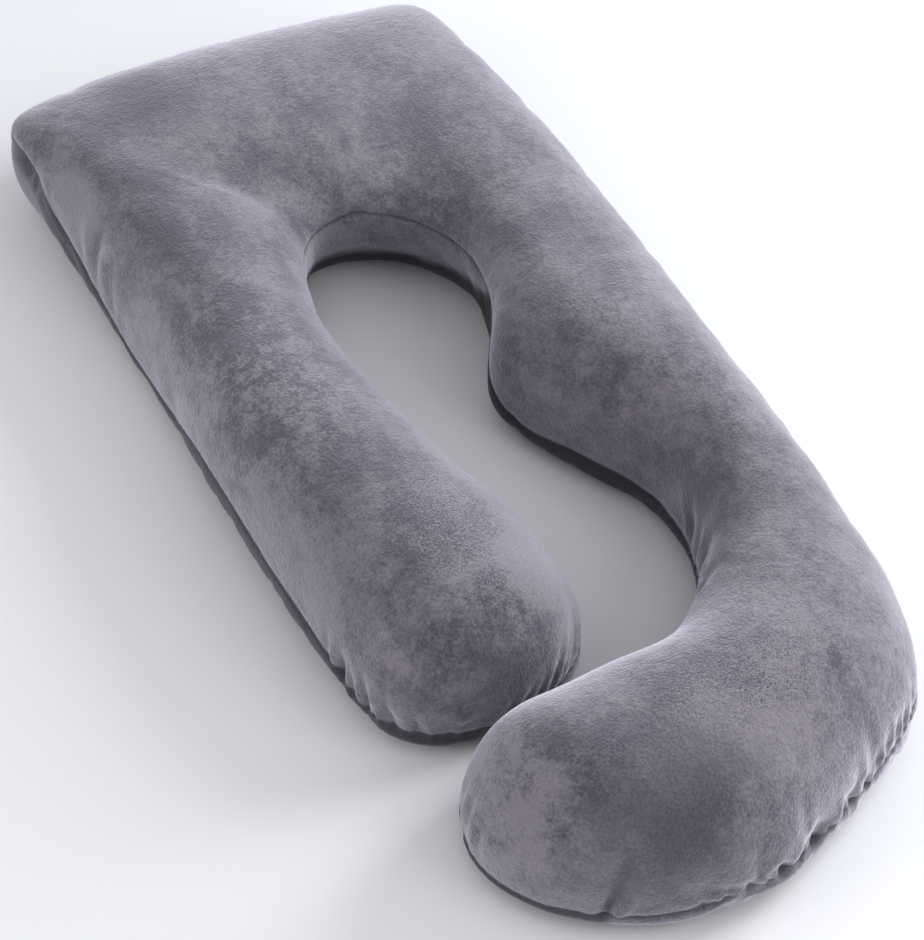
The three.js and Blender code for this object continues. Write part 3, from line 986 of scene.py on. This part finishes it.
# The first copy is the plush itself; the second is darker and nearly without sheen, and paints shade
# where the mesh asks for it.
standing = pile_shader(pile, sheen=1.0, sheen_roughness=0.5)
painted_shade_colour = mixed(kept("underneath"), PAINTED_SHADE_PILE, PAINTED_SHADOW_PILE)
lying = pile_shader(painted_shade_colour, sheen=0.12, sheen_roughness=0.4)
both = Field.node(tree, "ShaderNodeMixShader", {}, {0: kept("lying"), 1: standing, 2: lying})
tree.nodes.remove(tree.nodes["Principled BSDF"])
tree.links.new(both.socket, tree.nodes["Material Output"].inputs["Surface"])
cushion.data.materials.append(plush)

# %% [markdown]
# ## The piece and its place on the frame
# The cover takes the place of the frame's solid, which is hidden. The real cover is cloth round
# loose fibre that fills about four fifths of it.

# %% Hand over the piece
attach(cushion, "root")
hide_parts("pillow")

# %% [markdown]
# ## The studio
# The pillow lies on a plain pale floor under soft light. A single lamp would do, but plush shows its
# shape by the sheen at its edges, so a large soft lamp stands low on the right, with weaker ones in
# front and on the left. The camera looks down from the front left with a long lens.

# %% Floor
FLOOR_REACH = 6
PALE_GREY = (0.85, 0.85, 0.85, 1)
corners = np.array([[-1, -1, 0], [1, -1, 0], [1, 1, 0], [-1, 1, 0]], float) * FLOOR_REACH
floor = mesh_object("floor", corners, [[0, 1, 2, 3]])
floor_paint = bpy.data.materials.new("floor_paint")
floor_paint.use_nodes = True
floor_paint.node_tree.nodes["Principled BSDF"].inputs["Base Color"].default_value = PALE_GREY
floor.data.materials.append(floor_paint)

# %% Lights
SKY_COLOUR = (0.9, 0.93, 1, 1)
SKY_STRENGTH = 0.66
LAMP_SIZE = 1.6
LAMP_COLUMNS = ("place", "watts", "colour")
LAMPS = {
    "right": ((3.0, 0, 1.6), 112, (0.93, 0.95, 1)),
    "front right": ((1.6, -2.4, 2.0), 24, (1, 0.98, 0.98)),
    "left": ((-3.0, 0, 1.4), 22, (1, 0.94, 0.92)),
}
world = bpy.data.worlds.new("studio")
bpy.context.scene.world = world
world.use_nodes = True
world.node_tree.nodes["Background"].inputs["Color"].default_value = SKY_COLOUR
world.node_tree.nodes["Background"].inputs["Strength"].default_value = SKY_STRENGTH


def softbox(name, place, watts, colour):
    """A square soft light that faces the pillow."""
    light = bpy.data.lights.new(name, "AREA")
    light.shape = "SQUARE"
    light.size = LAMP_SIZE
    light.energy = watts
    light.color = colour
    lamp = bpy.data.objects.new(name, light)
    lamp.location = place
    lamp.rotation_euler = (-Vector(place)).to_track_quat("-Z", "Y").to_euler()
    bpy.context.scene.collection.objects.link(lamp)


for name, row in LAMPS.items():
    softbox(name, **dict(zip(LAMP_COLUMNS, row)))
bpy.context.scene.view_settings.view_transform = "Standard"

# %% Camera
LENS_IN_PIXELS = 3000
PICTURE_LONG_SIDE = 940
SENSOR = 36
TARGET = Vector((-0.0157, -0.0168, 0))
AZIMUTH = math.radians(-27.4)
ELEVATION = math.radians(46.5)
DISTANCE = 3.55
back = Vector((math.sin(AZIMUTH) * math.cos(ELEVATION), -math.cos(AZIMUTH) * math.cos(ELEVATION),
               math.sin(ELEVATION)))
camera = bpy.data.objects.new("camera", bpy.data.cameras.new("camera"))
camera.data.sensor_width = SENSOR
camera.data.lens = SENSOR * LENS_IN_PIXELS / PICTURE_LONG_SIDE
camera.location = TARGET + back * DISTANCE
camera.rotation_euler = back.to_track_quat("Z", "Y").to_euler()
bpy.context.scene.collection.objects.link(camera)
bpy.context.scene.camera = camera
